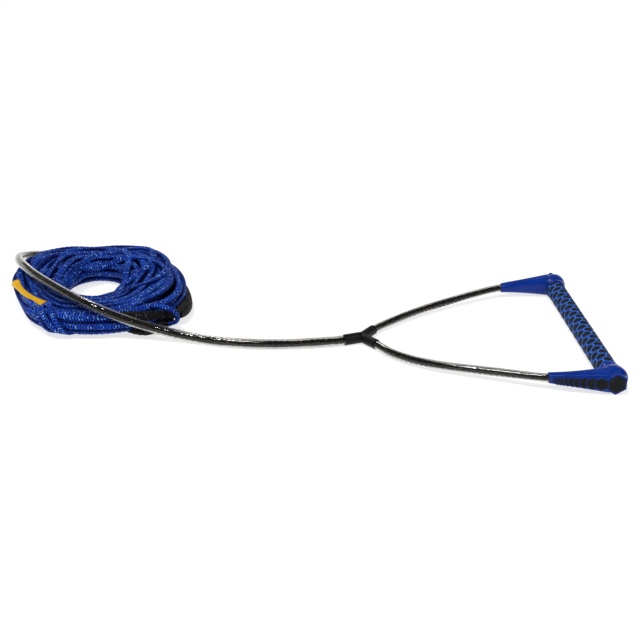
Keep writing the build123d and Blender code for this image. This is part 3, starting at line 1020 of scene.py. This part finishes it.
def cap_scales(side):
    """The overlapping six-sided scales along the arm, each over a thin blue edge."""
    sign = SIDES[side]
    plates = {"rim": bmesh.new(), "scale": bmesh.new()}
    along = Vector((1, sign * FACE_SLOPE, 0)).normalized()
    up = Vector((0, 0, 1))
    normal = Vector((-FACE_SLOPE, sign, 0)).normalized()
    distance = SCALE_FIRST
    step = SCALE_STEP
    places = []
    for _ in range(SCALE_COUNT):
        places.append(distance)
        distance += step
        step *= SCALE_SHRINK
    for order, distance in enumerate(reversed(places)):
        face_y = ARM_TIP_Y + ARM_TIP_RADIUS + FACE_SLOPE * (ARM_LENGTH - distance)
        centre = Vector((BAR_X - distance, sign * face_y, BAR_Z))
        radius = 0.7 * arm_half_height(distance)
        level = 0.00005 + 0.00014 * order
        place_and_turn = (centre, along, up, normal)
        hexagon_plate(plates["rim"], *place_and_turn, radius + SCALE_RIM, level, PLATE_BEVEL)
        hexagon_plate(plates["scale"], *place_and_turn, radius, level + 0.0001, PLATE_BEVEL)
    looks = {"rim": (CAP_BLUE, "cap_blue"), "scale": (INLAY_BLACK, "inlay_black")}
    for kind, builder in plates.items():
        bmesh.ops.recalc_face_normals(builder, faces=builder.faces)
        obj = mesh_object(f"{side}_cap_{kind}s", [], [], smooth=False)
        builder.to_mesh(obj.data)
        builder.free()
        finish_piece(obj, looks[kind][0], "handle")
        if kind == "scale":
            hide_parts(f"{side}_cap_inlay")


def cap_badge(side):
    """The plain raised six-sided badge on the end of the cap."""
    sign = SIDES[side]
    low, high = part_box(f"{side}_cap_badge")
    builder = bmesh.new()
    centre = Vector((BAR_X, low.y if sign < 0 else high.y, BAR_Z))
    normal = Vector((0, sign, 0))
    along = Vector((1, 0, 0))
    up = Vector((0, 0, 1))
    hexagon_plate(builder, centre, along, up, normal, BADGE_RADIUS, 0.0, BADGE_BEVEL)
    bmesh.ops.recalc_face_normals(builder, faces=builder.faces)
    obj = mesh_object(f"{side}_badge_plate", [], [], smooth=False)
    builder.to_mesh(obj.data)
    builder.free()
    finish_piece(obj, INLAY_BLACK, "handle")
    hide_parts(f"{side}_cap_badge")


def end_cap(side):
    """The blue moulding with its crowned shoulder, its scales and its badge."""
    sign = SIDES[side]
    shoulder = []
    for along, lift, outward, flatness in SHOULDER_DOMES:
        centre = Vector((BAR_X + outward, sign * (GRIP_HALF + along), BAR_Z + lift))
        shoulder.append((centre, centre.z - 0.0002, flatness))
    cap = smooth_copy(f"{side}_end_cap", f"{side}_cap_moulding", 0.0008, 12, shoulder)
    finish_piece(cap, CAP_BLUE, "handle")
    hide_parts(f"{side}_end_cap")
    cap_scales(side)
    cap_badge(side)


def plain_nodes():
    """CAD pieces whose shape stays, with better materials."""
    looks = {
        "bar_tube": BAR_METAL, "bar_rope": BLACK_ROPE, "y_splice": BLACK_ROPE,
        "trunk_sleeve": SLEEVE_BLACK, "left_leg_sleeve": SLEEVE_BLACK, "right_leg_sleeve": SLEEVE_BLACK,
    }
    for node, look in looks.items():
        data = frame["nodes"][node].data
        data.materials.clear()
        data.materials.append(look)


# ---- floor, light and camera ----------------------------------------------------------------
STUDIO_CENTRE = (BAR_X - 0.4, 0.3, 0)
FLOOR_SIZE = 60.0
WALL_DISTANCE = 27.0
WALL_HEIGHT = 12.0
WORLD_STRENGTH = 0.20
FLOOR_GLOW = 0.72
LIGHTS_MIDDLE = Vector((BAR_X - 0.39, 0.08, 0))
# Name, place from the middle, kind, size in metres or as the sun's angle, and power.
LIGHTS = (
    ("sun", (-0.5, -0.5, 1.6), "SUN", radians(14), 1.7),
    ("key", (-0.3, -0.7, 1.4), "AREA", 0.18, 5.0),
    ("side", (0.9, -0.5, 1.1), "AREA", 0.25, 3.0),
    ("back", (-0.4, 1.2, 1.2), "AREA", 0.30, 4.0),
)


def studio():
    """A white floor inside a white round wall, a white sky and four lights."""
    bpy.ops.mesh.primitive_plane_add(size=FLOOR_SIZE, location=STUDIO_CENTRE)
    floor = bpy.context.object
    floor.name = "studio_floor"
    floor.data.materials.append(floor_look())

    bpy.ops.mesh.primitive_cylinder_add(
        vertices=96, radius=WALL_DISTANCE, depth=WALL_HEIGHT, end_fill_type="NOTHING",
        location=STUDIO_CENTRE,
    )
    wall = bpy.context.object
    wall.name = "studio_wall"
    wall.data.materials.append(floor.data.materials[0])

    world = bpy.data.worlds.new("studio")
    world.use_nodes = True
    background = world.node_tree.nodes["Background"]
    background.inputs[0].default_value = (1.0, 1.0, 1.0, 1.0)
    background.inputs[1].default_value = WORLD_STRENGTH
    bpy.context.scene.world = world

    for name, offset, kind, size, power in LIGHTS:
        data = bpy.data.lights.new(name, kind)
        data.energy = power
        if kind == "SUN":
            data.angle = size
        else:
            data.size = size
        lamp = bpy.data.objects.new(name, data)
        lamp.location = LIGHTS_MIDDLE + Vector(offset)
        lamp.rotation_euler = Vector(offset).to_track_quat("Z", "Y").to_euler()
        bpy.context.scene.collection.objects.link(lamp)
    bpy.context.scene.view_settings.view_transform = "Standard"


CAMERA_TARGET = (-0.3914, 0.0862, 0.0)      # X from the bar axis
CAMERA_DISTANCE = 1.7399
CAMERA_PITCH = 23.804       # degrees down from level
CAMERA_YAW = -2.851         # degrees round from looking along +Y
CAMERA_LENS = 61.9          # millimetres, on a sensor of 36 mm


def camera():
    """The camera that looks at the object from its near side."""
    pitch = radians(CAMERA_PITCH)
    yaw = radians(CAMERA_YAW)
    back = Vector((sin(yaw) * cos(pitch), -cos(yaw) * cos(pitch), sin(pitch)))
    target, = place([CAMERA_TARGET])
    data = bpy.data.cameras.new("camera")
    data.lens = CAMERA_LENS
    data.sensor_width = 36.0
    eye = bpy.data.objects.new("camera", data)
    eye.location = target + back * CAMERA_DISTANCE
    eye.rotation_euler = back.to_track_quat("Z", "Y").to_euler()
    bpy.context.scene.collection.objects.link(eye)
    bpy.context.scene.camera = eye


camera()
studio()
trunk()
for leg_side in SIDES:
    bridle_leg(leg_side)
tail()
eye_piece = mainline_eye()
marker_piece = section_marker()
wrap_piece = far_wrap()
mainline_piece, mainline_line = mainline()
grip_web()
grip_pads()
for cap_side in SIDES:
    end_cap(cap_side)
plain_nodes()


def corners(box):
    """A box's two corners as plain numbers."""
    return [[float(value) for value in corner] for corner in box]
